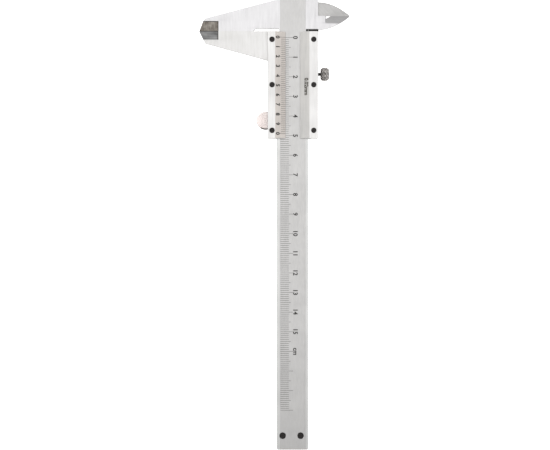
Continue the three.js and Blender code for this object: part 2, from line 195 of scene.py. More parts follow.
@dataclass(frozen=True)
class Steel:
    """Bare stainless steel, ground, lapped or blasted.

    Grit leaves long fine lines one way, and the hand that feeds the piece
    leaves broad cloudy patches, some a little brighter and some duller.
    """

    name: str
    colour: str
    line_colour: str
    roughness: float
    along: Along = Along.LENGTH
    line_width: float = 0.35  # real lines are about 0.05 mm: as wide as they need to show
    line_length: float = 14.0
    patch: float = 9.0
    relief: float = 0.003
    contrast: float = 0.5
    anisotropy: float = 0.3

    def material(self) -> bpy.types.Material:
        """Builds the shader from the lines and the patches.

        Returns:
            The material.
        """
        material = bpy.data.materials.new(self.name)
        material.use_nodes = True
        tree = material.node_tree
        tree.nodes.clear()
        place = add_node(tree, "ShaderNodeTexCoord").outputs["Object"]
        across = self.line_width * MM
        rows = add_node(
            tree,
            "ShaderNodeMapping",
            {
                "Vector": place,
                "Rotation": (0.0, 0.0, math.radians(self.along.value)),
                "Scale": (across, self.line_length * MM, across),
            },
            vector_type="TEXTURE",
        )
        lines = add_node(
            tree,
            "ShaderNodeTexNoise",
            {"Vector": rows.outputs[0], "Scale": 1.0, "Detail": 3.0, "Roughness": 0.65},
        )
        clouds = add_node(
            tree,
            "ShaderNodeTexNoise",
            {"Vector": place, "Scale": 1 / (self.patch * MM), "Detail": 2.0},
        )
        both = add_node(
            tree,
            "ShaderNodeMath",
            {0: lines.outputs["Fac"], 1: clouds.outputs["Fac"]},
            operation="ADD",
        )
        share = add_node(
            tree,
            "ShaderNodeMapRange",
            {
                "Value": both.outputs[0],
                "From Min": 1 - self.contrast / 2,
                "From Max": 1 + self.contrast / 2,
            },
        )
        tone = add_node(tree, "ShaderNodeValToRGB", {"Fac": share.outputs[0]})
        tone.color_ramp.elements[0].color = linear(self.line_colour)
        tone.color_ramp.elements[1].color = linear(self.colour)
        rough = add_node(
            tree,
            "ShaderNodeMapRange",
            {
                "Value": lines.outputs["Fac"],
                "From Min": 0.3,
                "From Max": 0.7,
                "To Min": self.roughness + 0.05,
                "To Max": self.roughness - 0.05,
            },
        )
        bump = add_node(
            tree,
            "ShaderNodeBump",
            {"Height": lines.outputs["Fac"], "Distance": self.relief * MM},
        )
        shader = add_node(
            tree,
            "ShaderNodeBsdfPrincipled",
            {
                "Base Color": tone.outputs["Color"],
                "Metallic": 1.0,
                "Roughness": rough.outputs[0],
                "Anisotropic": self.anisotropy,
                "Normal": bump.outputs[0],
            },
        )
        add_node(tree, "ShaderNodeOutputMaterial", {"Surface": shader.outputs[0]})
        return material


@dataclass(frozen=True)
class Coating:
    """A thin dark layer: black oxide on a screw, or paint rubbed into engraving."""

    name: str
    colour: str
    roughness: float
    metallic: float = 0.0
    grain: float = 0.15
    relief: float = 0.004

    def material(self) -> bpy.types.Material:
        """Builds the shader, with a fine grain in tone and height.

        Returns:
            The material.
        """
        material = bpy.data.materials.new(self.name)
        material.use_nodes = True
        tree = material.node_tree
        tree.nodes.clear()
        place = add_node(tree, "ShaderNodeTexCoord").outputs["Object"]
        specks = add_node(
            tree,
            "ShaderNodeTexNoise",
            {"Vector": place, "Scale": 1 / (self.grain * MM), "Detail": 3.0},
        )
        tone = add_node(tree, "ShaderNodeValToRGB", {"Fac": specks.outputs["Fac"]})
        base = linear(self.colour)
        tone.color_ramp.elements[0].color = (*(0.7 * c for c in base[:3]), 1.0)
        tone.color_ramp.elements[1].color = (*(1.3 * c for c in base[:3]), 1.0)
        bump = add_node(
            tree,
            "ShaderNodeBump",
            {"Height": specks.outputs["Fac"], "Distance": self.relief * MM},
        )
        shader = add_node(
            tree,
            "ShaderNodeBsdfPrincipled",
            {
                "Base Color": tone.outputs["Color"],
                "Metallic": self.metallic,
                "Roughness": self.roughness,
                "Normal": bump.outputs[0],
            },
        )
        add_node(tree, "ShaderNodeOutputMaterial", {"Surface": shader.outputs[0]})
        return material


class Finishes:
    """Every finish of the caliper, each built once."""

    def __init__(self) -> None:
        """Builds the materials."""
        # Stainless 420, ground bright: near white, with faint long lines. On the wall of the slot
        # under the fixed jaw it is painted light.
        self.bright = Steel("bright_ground_steel_and_painted_light", "BCBBBA", "B2B1B0", 0.34).material()
        # The same steel on the jaws, ground across their length by a cup wheel.
        cup_wheel = {"line_width": 0.6, "line_length": 9.0, "patch": 14.0, "relief": 0.001}
        self.jaw = Steel(
            "cup_ground_steel", "B9B8B9", "B2B1B2", 0.36, **cup_wheel
        ).material()
        # The moving jaw, from another batch: a shade warmer.
        self.moving_jaw = Steel(
            "cup_ground_steel_warm", "B7B6B5", "B0AFAD", 0.36, **cup_wheel
        ).material()
        # The beam's rails, polished by the slider that runs on them.
        self.rail = Steel("worn_rail", "B3B3B2", "A9A9A8", 0.38, line_length=30.0).material()
        # Satin chrome on the sunk band: soft, even and a little darker, so that marks read well.
        self.satin = Steel(
            "satin_chrome", "A8A7A6", "9E9D9C", 0.36, line_length=3.0, contrast=0.8
        ).material()
        # The front plates' bevels, satin chrome too: the vernier's is the warmer grey.
        self.bevel = Steel(
            "satin_chrome_bevel", "C7C1BC", "BBB5B0", 0.44, line_length=3.0, contrast=0.8
        ).material()
        self.cover_bevel = Steel(
            "satin_chrome_cover", "B5B3B0", "A9A8A6", 0.44, line_length=20.0, contrast=0.6
        ).material()
        # Fresh wheel marks on the thinned jaw tips: dark and coarse, ground down the slope
        # on the fixed jaw and along the edge on the moving one, which came from a newer wheel.
        coarse_wheel = {"patch": 3.0, "relief": 0.01, "contrast": 0.6}
        self.tip = Steel(
            "wheel_ground_tip",
            "928D86",
            "645E58",
            0.42,
            line_width=0.7,
            line_length=7.0,
            **coarse_wheel,
        ).material()
        self.moving_tip = Steel(
            "wheel_ground_tip_grey",
            "858585",
            "5E5E5E",
            0.42,
            Along.WIDTH,
            line_width=0.8,
            line_length=9.0,
            **coarse_wheel,
        ).material()
        # A dark strip round the tips' ground faces and on their chamfers. On the thumb rest's rim
        # the same dark steel is painted shade.
        self.dark_edge = Steel("dark_steel_edge", "4E4945", "35312E", 0.5).material()
        # The inside blades' knife edges: ground finer than the tips, mid grey.
        self.knife = Steel(
            "ground_knife_edge", "B4B3B3", "A2A1A1", 0.4, Along.WIDTH, line_width=0.4
        ).material()
        # Painted shade on the flank of the moving blade, which lies recessed under the fixed blade:
        # the same steel, made duller than the ground faces.
        self.flank_shade = Steel("flank_painted_shade", "A5A4A3", "979695", 0.42, Along.SLANT).material()
        # Cut ends and holes: plain machined steel.
        self.edge = Steel("machined_edge", "A09E9C", "8F8D8B", 0.45).material()
        # Turned face of the thumb rest, with a warm cast.
        self.turned = Steel("turned_steel", "DBD2CF", "CCC1BE", 0.38).material()
        # Nickel plate over a knurl, with slanted streaks of painted highlight and painted shade in
        # its colour, standing for the knurl's bright ridges and dull valleys.
        self.nickel = Steel(
            "nickel_plate",
            "B2AEAB",
            "5C5855",
            0.18,
            Along.SLANT,
            line_width=0.9,
            line_length=2.2,
            patch=1.6,
            contrast=0.7,
        ).material()
        # Cold-drawn rod.
        self.drawn = Steel("drawn_steel", "ABAAA7", "9A9896", 0.33, line_width=0.25).material()
        # Rolled phosphor bronze of the gib leaf.
        self.bronze = Steel("rolled_bronze", "C79A5B", "A87F47", 0.36).material()
        # Black oxide on the screws: a thin, slightly oily black. The same black is also painted
        # shade in the gap beside the head and on the lock screw's stem.
        self.black = Coating("black_oxide_and_painted_shade", "1C1918", 0.42, metallic=0.6).material()
        # Black paint left in the engraved marks when the face is wiped.
        self.ink = Coating("engraving_paint", "221F1D", 0.6).material()
        # The dark brown paint of the resolution mark.
        self.brown_ink = Coating("brown_engraving_paint", "39342A", 0.6).material()


# -------------------------------------------------------------------- layout


@dataclass(frozen=True)
class Layout:
    """Places on the caliper, read from the frame, in millimetres."""

    centre: float  # x of the beam's centre line
    closed: float  # y of the closed outside jaws
    face: float  # height of the beam's rails
    band: float  # height of the sunk band
    middle: float  # height of the beam's mid-plane
    plate_top: float  # height of the front plates

    @classmethod
    def from_frame(cls) -> Layout:
        """Reads the boxes of the nodes that carry the data.

        Returns:
            The places.
        """
        beam_low, beam_high = (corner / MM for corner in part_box("main_beam"))
        stop_low, stop_high = (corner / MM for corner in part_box("end_stop_plate"))
        _, plate_high = (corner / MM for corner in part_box("vernier_plate"))
        face = beam_high.z
        return cls(
            centre=(stop_low.x + stop_high.x) / 2,
            closed=plate_high.y + PLATE_SETBACK,
            face=face,
            band=face - BAND_DEPTH,
            middle=(beam_low.z + beam_high.z) / 2,
            plate_top=plate_high.z,
        )

    def at(self, x: float, y: float, z: float) -> Vector:
        """A point told from the drawing's data, as a place in the frame in metres."""
        return Vector((self.centre + x, self.closed + y, z)) * MM

    def told(self, point: Vector) -> Vector:
        """A place in the frame, told in millimetres from the drawing's data."""
        return Vector((point.x / MM - self.centre, point.y / MM - self.closed, point.z / MM))


# ------------------------------------------------------------ machined bodies

Region = Callable[[Vector, Vector], bool]
SHARP = math.radians(28)  # an edge that turns more than this is broken
SAME_POINT = 0.002  # corners closer than this are one
FLAT = math.radians(0.6)  # faces that turn less than this are one
WORN_EDGE = 0.34  # widest chamfer, in millimetres; each edge has its own share of it


@dataclass
class MachinedBody:
    """A machined steel piece: the CAD solid with broken edges and a finish for each face.

    Attributes:
        node: The CAD node that gives the shape.
        name: The finished piece's name.
        body: The body that it rides on.
        slot: The record's finish slot.
        plain: Finish of every face that no region claims.
        regions: Pairs of a test on a face's centre and normal, and its finish.
        broken_edge: Width of the chamfer that breaks each sharp edge.
        seams: Where a flat face is split across x or y, so that its parts can differ.
        worn: Tells from its middle which edge has a wide chamfer, WORN_EDGE across.
    """

    node: str
    name: str
    body: str
    slot: str
    plain: bpy.types.Material
    regions: Sequence[tuple[Region, bpy.types.Material]] = ()
    broken_edge: float = 0.1
    seams: Sequence[tuple[str, float]] = ()
    worn: Callable[[Vector], bool] = lambda middle: False

    def build(self, layout: Layout) -> bpy.types.Object:
        """Makes the piece and mounts it in place of its CAD node.

        Args:
            layout: Places on the caliper.

        Returns:
            The finished piece.
        """
        piece = new_object(self.name, self._merged(layout))
        bevel = piece.modifiers.new("broken_edges", "BEVEL")
        bevel.width = WORN_EDGE * MM
        bevel.segments = 2
        bevel.limit_method = "WEIGHT"
        bevel.use_clamp_overlap = True
        bevel.miter_outer = "MITER_ARC"
        bake_modifiers(piece)
        self._dress(piece.data, layout)
        shade_smooth(piece.data, 18)
        return mount(piece, self.body, self.slot, self.node)

    def _merged(self, layout: Layout) -> bpy.types.Mesh:
        """A copy of the CAD mesh, split at the seams, with a chamfer weight on each edge.

        Args:
            layout: Places on the caliper.

        Returns:
            The mesh, ready for its chamfers.
        """
        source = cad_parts[self.node].data
        work = bmesh.new()
        work.from_mesh(source)
        bmesh.ops.remove_doubles(work, verts=work.verts, dist=SAME_POINT * MM)
        bmesh.ops.dissolve_limit(
            work, angle_limit=FLAT, verts=work.verts, edges=work.edges
        )
        for axis, place in self.seams:
            bmesh.ops.bisect_plane(
                work,
                geom=[*work.verts, *work.edges, *work.faces],
                plane_co=layout.at(place, place, 0),
                plane_no=(1, 0, 0) if axis == "x" else (0, 1, 0),
            )
        # The end faces wrap round a channel, and such a face shades wrongly as one polygon.
        ends = [face for face in work.faces if abs(face.normal.y) > 0.9]
        bmesh.ops.triangulate(work, faces=ends)
        weight = work.edges.layers.float.new("bevel_weight_edge")
        for edge in work.edges:
            if edge.calc_face_angle(0.0) > SHARP:
                middle = layout.told((edge.verts[0].co + edge.verts[1].co) / 2)
                edge[weight] = 1.0 if self.worn(middle) else self.broken_edge / WORN_EDGE
        mesh = bpy.data.meshes.new(self.name)
        work.to_mesh(mesh)
        work.free()
        return mesh

    def _dress(self, mesh: bpy.types.Mesh, layout: Layout) -> None:
        """Gives each face the finish of the first region that claims it.

        Args:
            mesh: The mesh to change.
            layout: Places on the caliper.
        """
        mesh.materials.clear()
        mesh.materials.append(self.plain)
        for _, finish in self.regions:
            mesh.materials.append(finish)
        for face in mesh.polygons:
            centre = layout.told(face.center)
            claims = (i for i, (test, _) in enumerate(self.regions) if test(centre, face.normal))
            face.material_index = next(claims, -1) + 1


def faces_up(normal: Vector) -> bool:
    """True for a face that looks straight out of the graduated side."""
    return normal.z > 0.999


def leans(normal: Vector) -> bool:
    """True for a face ground at a slant, on the front or on the back."""
    return 0.8 < abs(normal.z) < 0.995


def ground_tip(normal: Vector) -> bool:
    """True for the shallow slant that thins an outside jaw's tip."""
    return 0.955 < abs(normal.z) < 0.99


# -------------------------------------------------------------------- scales


@dataclass
class LineScale:
    """A row of engraved lines, made by one Geometry Nodes tree.

    Attributes:
        count: How many lines.
        pitch: From one line to the next.
        short: Length of a plain line.
        medium: Length of each fifth line.
        long: Length of each tenth line.
        width: Width of a line.
        start: Where the first line begins, told from the drawing's data.
        turn: Turn of the whole row about +Y, in degrees.
    """

    name: str
    body: str
    slot: str
    count: int
    pitch: float
    short: float
    medium: float
    long: float
    width: float
    start: Point
    turn: float = 0.0
    depth: float = 0.03

    def build(self, layout: Layout, ink: bpy.types.Material) -> bpy.types.Object:
        """Runs the tree and mounts the lines as one plain mesh.

        Args:
            layout: Places on the caliper.
            ink: Material of the marks.

        Returns:
            The finished piece.
        """
        piece = new_object(self.name, bpy.data.meshes.new(self.name))
        modifier = piece.modifiers.new("lines", "NODES")
        modifier.node_group = self._tree(ink)
        sizes = {
            "Count": self.count,
            "Pitch": self.pitch * MM,
            "Short": self.short * MM,
            "Medium": self.medium * MM,
            "Long": self.long * MM,
            "Width": self.width * MM,
            "Depth": self.depth * MM,
            "Turn": math.radians(self.turn),
            "Start": tuple(layout.at(*self.start)),
        }
        sockets = {item.name: item.identifier for item in modifier.node_group.interface.items_tree}
        for name, value in sizes.items():
            modifier[sockets[name]] = value
        bake_modifiers(piece)
        return mount(piece, self.body, self.slot)

    def _tree(self, ink: bpy.types.Material) -> bpy.types.GeometryNodeTree:
        """Builds the tree: a row of points, a line on each, long, medium or short.

        Args:
            ink: Material of the marks.

        Returns:
            The tree.
        """
        tree = bpy.data.node_groups.new("line_scale", "GeometryNodeTree")
        kinds = {
            "Count": "NodeSocketInt",
            "Pitch": "NodeSocketFloat",
            "Short": "NodeSocketFloat",
            "Medium": "NodeSocketFloat",
            "Long": "NodeSocketFloat",
            "Width": "NodeSocketFloat",
            "Depth": "NodeSocketFloat",
            "Turn": "NodeSocketFloat",
            "Start": "NodeSocketVector",
        }
        for name, kind in kinds.items():
            tree.interface.new_socket(name, in_out="INPUT", socket_type=kind)
        tree.interface.new_socket("Lines", in_out="OUTPUT", socket_type="NodeSocketGeometry")
        given = add_node(tree, "NodeGroupInput").outputs
        down = add_node(
            tree, "ShaderNodeMath", {0: given["Pitch"], 1: -1.0}, operation="MULTIPLY"
        )
        step = add_node(tree, "ShaderNodeCombineXYZ", {"Y": down.outputs[0]})
        row = add_node(
            tree,
            "GeometryNodeMeshLine",
            {"Count": given["Count"], "Offset": step.outputs[0]},
            mode="OFFSET",
        )
        index = add_node(tree, "GeometryNodeInputIndex").outputs[0]
        length = given["Short"]
        for every, name in ((5, "Medium"), (10, "Long")):
            rest = add_node(tree, "ShaderNodeMath", {0: index, 1: float(every)}, operation="MODULO")
            hit = add_node(
                tree, "ShaderNodeMath", {0: rest.outputs[0], 1: 0.5}, operation="LESS_THAN"
            )
            choice = add_node(
                tree,
                "GeometryNodeSwitch",
                {"Switch": hit.outputs[0], "False": length, "True": given[name]},
                input_type="FLOAT",
            )
            length = choice.outputs[0]
        size = add_node(
            tree, "ShaderNodeCombineXYZ", {"X": length, "Y": given["Width"], "Z": given["Depth"]}
        )
        block = add_node(tree, "GeometryNodeMeshCube", {"Size": (1.0, 1.0, 1.0)})
        shifted = add_node(
            tree,
            "GeometryNodeTransform",
            {"Geometry": block.outputs["Mesh"], "Translation": (0.5, 0.0, 0.0)},
        )
        lines = add_node(
            tree,
            "GeometryNodeInstanceOnPoints",
            {
                "Points": row.outputs["Mesh"],
                "Instance": shifted.outputs[0],
                "Scale": size.outputs[0],
            },
        )
        real = add_node(tree, "GeometryNodeRealizeInstances", {"Geometry": lines.outputs[0]})
        angle = add_node(tree, "ShaderNodeCombineXYZ", {"Y": given["Turn"]})
        placed = add_node(
            tree,
            "GeometryNodeTransform",
            {
                "Geometry": real.outputs[0],
                "Translation": given["Start"],
                "Rotation": angle.outputs[0],
            },
        )
        inked = add_node(
            tree, "GeometryNodeSetMaterial", {"Geometry": placed.outputs[0], "Material": ink}
        )
        add_node(tree, "NodeGroupOutput", {"Lines": inked.outputs[0]})
        return tree


@dataclass
class Lettering:
    """Engraved numerals that read down the scale, joined into one mesh.

    Attributes:
        marks: Pairs of a text and its place along y, told from the data.
        foot: x and z of the foot of the numerals.
        height: Height of a numeral.
        lean: Slope of the face, in degrees about +Y.
        weight: Extra thickness of each stroke.
    """

    name: str
    body: str
    slot: str
    marks: Sequence[tuple[str, float]]
    foot: tuple[float, float]
    height: float
    lean: float = 0.0
    weight: float = 0.0
    depth: float = 0.03

    def build(self, layout: Layout, ink: bpy.types.Material) -> bpy.types.Object:
        """Sets each text in place and mounts them as one piece.

        Args:
            layout: Places on the caliper.
            ink: Material of the marks.

        Returns:
            The finished piece.
        """
        work = bmesh.new()
        for text, y in self.marks:
            flat = self._text_mesh(text)
            low = min(v.co.x for v in flat.vertices)
            high = max(v.co.x for v in flat.vertices)
            middle = (low + high) / 2
            scale = self.height * MM / self._cap_height()
            turn = (
                Matrix.Translation(layout.at(self.foot[0], y, self.foot[1]))
                @ Matrix.Rotation(math.radians(self.lean), 4, "Y")
                @ Matrix.Rotation(-math.pi / 2, 4, "Z")
                @ Matrix.Diagonal((scale, scale, scale, 1))
                @ Matrix.Translation((-middle, 0, 0))
            )
            flat.transform(turn)
            work.from_mesh(flat)
            bpy.data.meshes.remove(flat)
        mesh = bpy.data.meshes.new(self.name)
        bmesh.ops.remove_doubles(work, verts=work.verts, dist=1e-7)
        bmesh.ops.recalc_face_normals(work, faces=work.faces)
        work.to_mesh(mesh)
        work.free()
        mesh.materials.append(ink)
        return mount(new_object(self.name, mesh), self.body, self.slot)

    def _text_mesh(self, text: str) -> bpy.types.Mesh:
        """A text as a flat closed mesh, one unit tall at its own type size.

        Args:
            text: The characters.

        Returns:
            The mesh.
        """
        curve = bpy.data.curves.new("numeral", "FONT")
        curve.body = text
        curve.extrude = self.depth * MM / 2 * self._cap_height() / (self.height * MM)
        curve.offset = self.weight
        curve.resolution_u = 3
        holder = bpy.data.objects.new("numeral", curve)
        bpy.context.scene.collection.objects.link(holder)
        depsgraph = bpy.context.evaluated_depsgraph_get()
        mesh = bpy.data.meshes.new_from_object(holder.evaluated_get(depsgraph))
        bpy.data.objects.remove(holder)
        bpy.data.curves.remove(curve)
        return mesh

    @staticmethod
    def _cap_height() -> float:
        """Height of a numeral of the built-in face at type size 1."""
        return 0.7


# --------------------------------------------------------------------- beam


@dataclass
class Beam:
    """The graduated beam with its head, fixed jaws and stop plate; its end screws are made among the
    small parts.
    """

    line_start: float = -6.2
    numeral_foot: float = 0.45
    numeral_height: float = 2.2
    numeral_weight: float = 0.03
    last_line: int = 190
    last_number: int = 15
    unit_mark: int = 160
    blade_start: float = 16.0
    rails_end: float = -0.3
    rim_outer: float = 4.75
    rim_contact: float = 0.3

    def build(self, layout: Layout, finish: Finishes) -> None:
        """Makes every piece of the beam's body.

        Args:
            layout: Places on the caliper.
            finish: The finishes.
        """
        self._bar(layout, finish)
        LineScale(
            name="beam_lines",
            body="beam",
            slot="black_screws",
            count=self.last_line + 1,
            pitch=1.0,
            short=4.35,
            medium=5.3,
            long=6.5,
            width=0.16,
            start=(self.line_start, ZERO_LINE, layout.band - MARK_SINK),
        ).build(layout, finish.ink)
        numbers = [(str(n), ZERO_LINE - 10 * n) for n in range(self.last_number + 1)]
        Lettering(
            name="beam_numerals",
            body="beam",
            slot="black_screws",
            marks=[*numbers, ("cm", ZERO_LINE - self.unit_mark)],
            foot=(self.numeral_foot, layout.band - MARK_SINK),
            height=self.numeral_height,
            weight=self.numeral_weight,
        ).build(layout, finish.ink)
        MachinedBody(
            "end_stop_plate", "stop_plate", "beam", "frame_steel", finish.edge
        ).build(layout)

    def _bar(self, layout: Layout, finish: Finishes) -> None:
        """The ground bar itself, with a finish for each of its faces.

        Args:
            layout: Places on the caliper.
            finish: The finishes.
        """

        def in_dark_rim(place: Vector) -> bool:
            """True for the rim round the tip's ground face, which takes the dark edge finish."""
            inside = self.rim_contact < place.y < self.rim_outer
            return place.x > TIP_RIM or not inside

        regions = [
            (lambda c, n: ground_tip(n) and c.x < TIP_START and not in_dark_rim(c), finish.tip),
            (lambda c, n: 0.2 < n.z < 0.99 and c.x < TIP_START, finish.dark_edge),
            (lambda c, n: leans(n) and c.x > self.blade_start, finish.knife),
            # Painted shade: faces that look up from below the mid-plane, down in the recesses of the
            # head, are made black.
            (lambda c, n: faces_up(n) and c.z < layout.middle + 0.1, finish.black),
            (lambda c, n: faces_up(n) and c.z < layout.face - 0.1, finish.satin),
            (lambda c, n: faces_up(n) and c.y < self.rails_end, finish.rail),
            # Painted light: the wall of the slot under the fixed jaw takes the bright finish, so
            # that it reads light.
            (lambda c, n: n.y < -0.6 and -20.5 < c.x < 0 < c.y, finish.bright),
            (lambda c, n: abs(n.z) < 0.5, finish.edge),
        ]
        seams = [
            ("x", TIP_RIM),
            ("y", self.rim_outer),
            ("y", self.rim_contact),
            ("y", self.rails_end),
        ]
        MachinedBody(
            "main_beam",
            "beam_bar",
            "beam",
            "beam_steel",
            finish.jaw,
            regions,
            broken_edge=0.12,
            seams=seams,
            worn=lambda middle: middle.x < TIP_START,
        ).build(layout)


# ------------------------------------------------------------------- slider


@dataclass
class Slider:
    """The sliding frame with its moving jaws, front plates, vernier and small parts."""

    divisions: int = 50
    vernier_span: float = 49.0
    vernier_edge: float = -3.5
    vernier_crest: float = -8.8
    cover_edge: float = 3.85
    cover_crest: float = 8.6
    edge_height: float = 6.02
    line_inset: float = 0.1
    numeral_foot: float = -8.35
    numeral_height: float = 1.9
    numeral_weight: float = 0.045
    resolution_foot: float = 6.2
    resolution_place: float = -28.35
    blade_start: float = 13.4
    shaded_gap: tuple[float, float] = (-0.3, 1.0)  # painted shade in the gap where the arm dips under the head

    def build(self, layout: Layout, finish: Finishes) -> None:
        """Makes every piece of the slider's body.

        Args:
            layout: Places on the caliper.
            finish: The finishes.
        """
        self._frame(layout, finish)
        self._plates(layout, finish)
        self._vernier(layout, finish)
        self._resolution(layout, finish)
        for node in ("depth_rod", "depth_rod_rivet_1", "depth_rod_rivet_2", "thumb_rest_pin"):
            MachinedBody(node, node + "_finished", "slider", "rod_steel", finish.drawn).build(layout)

    def _frame(self, layout: Layout, finish: Finishes) -> None:
        """The channel with the moving outside jaw and the moving blade.

        Args:
            layout: Places on the caliper.
            finish: The finishes.
        """
        low, high = self.shaded_gap
        regions = [
            (lambda c, n: ground_tip(n) and c.x < TIP_RIM, finish.moving_tip),
            (lambda c, n: 0.2 < n.z < 0.99 and c.x < TIP_START, finish.dark_edge),
            (lambda c, n: leans(n) and c.x > self.blade_start, finish.knife),
            # Painted shade: the arm's face seen down the gap under the head is made black.
            (lambda c, n: faces_up(n) and c.x > 5 and low < c.y < high, finish.black),
            # Painted shade: the moving blade's recessed flank takes a darker copy of the steel.
            (lambda c, n: faces_up(n) and c.x > 8 and c.z < layout.middle, finish.flank_shade),
            (lambda c, n: abs(n.z) < 0.5, finish.edge),
        ]
        MachinedBody(
            "slider_frame",
            "slider_channel",
            "slider",
            "frame_steel",
            finish.moving_jaw,
            regions,
            broken_edge=0.12,
            seams=[("x", TIP_RIM), ("y", low), ("y", high)],
            worn=lambda middle: middle.x < TIP_START,
        ).build(layout)

    def _plates(self, layout: Layout, finish: Finishes) -> None:
        """The two bevelled front plates.

        Args:
            layout: Places on the caliper.
            finish: The finishes.
        """
        regions = [
            (lambda c, n: leans(n) and n.z > 0 and c.x < 0, finish.bevel),
            (lambda c, n: leans(n) and n.z > 0, finish.cover_bevel),
            (lambda c, n: abs(n.z) < 0.5, finish.cover_bevel),
        ]
        for node, name in (("vernier_plate", "vernier_strip"), ("cover_plate", "cover_strip")):
            MachinedBody(
                node,
                name,
                "slider",
                "scale_plate_steel",
                finish.bright,
                regions,
                broken_edge=0.06,
            ).build(layout)

    def _slope(self, edge: float, crest: float, layout: Layout) -> float:
        """Slope of a bevel, as a rise for each millimetre towards its crest."""
        return (layout.plate_top - self.edge_height) / abs(crest - edge)

    def _vernier(self, layout: Layout, finish: Finishes) -> None:
        """The vernier's lines and numerals on the left bevel.

        Args:
            layout: Places on the caliper.
            finish: The finishes.
        """
        slope = self._slope(self.vernier_edge, self.vernier_crest, layout)
        lean = math.degrees(math.atan(slope))
        line_x = self.vernier_edge - self.line_inset
        line_z = self.edge_height + slope * self.line_inset
        pitch = self.vernier_span / self.divisions
        LineScale(
            name="vernier_lines",
            body="slider",
            slot="black_screws",
            count=self.divisions + 1,
            pitch=pitch,
            short=2.4,
            medium=2.9,
            long=2.9,
            width=0.16,
            start=(line_x, ZERO_LINE, line_z - MARK_SINK),
            turn=180 + lean,
        ).build(layout, finish.ink)
        foot_x = self.numeral_foot
        foot_z = self.edge_height + slope * (self.vernier_edge - foot_x)
        numbers = [(str(n % 10), ZERO_LINE - n * pitch * 5) for n in range(11)]
        Lettering(
            name="vernier_numerals",
            body="slider",
            slot="black_screws",
            marks=numbers,
            foot=(foot_x, foot_z - MARK_SINK),
            height=self.numeral_height,
            lean=lean,
            weight=self.numeral_weight,
        ).build(layout, finish.ink)

    def _resolution(self, layout: Layout, finish: Finishes) -> None:
        """The resolution on the right bevel.

        Args:
            layout: Places on the caliper.
            finish: The finishes.
        """
        slope = self._slope(self.cover_edge, self.cover_crest, layout)
        foot_x = self.resolution_foot
        foot_z = self.edge_height + slope * (foot_x - self.cover_edge)
        Lettering(
            name="resolution_mark",
            body="slider",
            slot="black_screws",
            marks=[("0.02mm", self.resolution_place)],
            foot=(foot_x, foot_z - MARK_SINK),
            height=self.numeral_height,
            lean=-math.degrees(math.atan(slope)),
            weight=self.numeral_weight,
        ).build(layout, finish.brown_ink)


# ------------------------------------------------------------- turned pieces


@dataclass
class Knob:
    """The lock screw: a plain stem with a diamond-knurled head, turned about +X."""

    around: int = 224
    ridges: int = 14
    knurl_depth: float = 0.4
    knurl_lead: float = 1.6
    thread_radius: float = 1.0
    thread_end: float = 13.02
    neck_radius: float = 0.75
    knob_radius: float = 3.5
    knob_start: float = 14.35
    knob_width: float = 4.35
    rounding: float = 1.5
    tip_chamfer: float = 0.3
    inner_rim: float = 1.6
    dish_radius: float = 1.7
    dish_depth: float = 0.25
    knurl_reach: float = 0.6  # how far in from the barrel's radius the knurl still cuts

    def build(self, layout: Layout, finish: Finishes) -> None:
        """Makes the screw and mounts it in place of its CAD node.

        Args:
            layout: Places on the caliper.
            finish: The finishes.
        """
        low, high = (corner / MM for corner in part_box("lock_screw"))
        start = low.x - layout.centre
        row = (low.y + high.y) / 2 - layout.closed
        height = (low.z + high.z) / 2
        rings = self._profile(start)
        mesh = turned_mesh("lock_screw_finished", rings, self.around, self._knurl)
        axis = Matrix.Translation(layout.at(0, row, height)) @ Matrix.Rotation(math.pi / 2, 4, "Y")
        mesh.transform(axis)
        for material in (finish.nickel, finish.black, finish.rail):
            mesh.materials.append(material)
        for face in mesh.polygons:
            # Painted shade: the stem and neck under the knob take the black finish.
            if layout.told(face.center).x < self.knob_start:
                face.material_index = 1
            elif face.normal.x > 0.99:
                face.material_index = 2
        shade_smooth(mesh, 40)
        mount(new_object(mesh.name, mesh), "lock", "knob_plating", "lock_screw")

    def _profile(self, start: float) -> list[tuple[float, float]]:
        """Radius and place along the axis of each ring, from the tip to the knob's outer face.

        Args:
            start: Place of the tip along the axis.

        Returns:
            Pairs of a radius and a place along the axis.
        """
        thread = self.thread_radius
        chamfer = self.tip_chamfer
        stem = [
            (0.0, start),
            (thread - chamfer, start),
            (thread, start + chamfer),
            (thread, self.thread_end),
        ]
        neck = [
            (self.neck_radius, self.thread_end),
            (self.neck_radius, self.knob_start),
            (self.inner_rim, self.knob_start),
        ]
        inner = self._arc(self.knob_start + self.rounding, -90, 0)
        barrel_steps = 14
        first = self.knob_start + self.rounding
        last = self.knob_start + self.knob_width - self.rounding
        barrel = [
            (self.knob_radius, first + (last - first) * i / barrel_steps)
            for i in range(1, barrel_steps)
        ]
        outer = self._arc(last, 0, 90)
        end = self.knob_start + self.knob_width
        floor = end - self.dish_depth
        dish = [(self.dish_radius, end), (self.dish_radius - 0.2, floor), (0.0, floor)]
        return [*stem, *neck, *inner, *barrel, *outer, *dish]

    def _arc(self, along: float, first: int, last: int) -> list[tuple[float, float]]:
        """The quarter round at one end of the barrel.

        Args:
            along: Place along the axis.
            first: First angle, in degrees.
            last: Last angle, in degrees.

        Returns:
            Pairs of a radius and a place along the axis.
        """
        steps = 12
        angles = [math.radians(first + (last - first) * i / steps) for i in range(steps + 1)]
        centre = self.knob_radius - self.rounding
        return [
            (centre + self.rounding * math.cos(a), along + self.rounding * math.sin(a))
            for a in angles
        ]

    def _knurl(self, radius: float, along: float, angle: float) -> float:
        """Depth of the diamond knurl at a point of the surface.

        Args:
            radius: Radius before any relief.
            along: Place along the axis.
            angle: Angle about the axis.

        Returns:
            The true radius.
        """
        if radius < self.knob_radius - self.knurl_reach:
            return radius
        turns = self.ridges * angle / (2 * math.pi)
        twist = along / self.knurl_lead
        left, right = (abs(2 * (way % 1) - 1) for way in (turns + twist, turns - twist))
        return radius - self.knurl_depth * max(left, right)


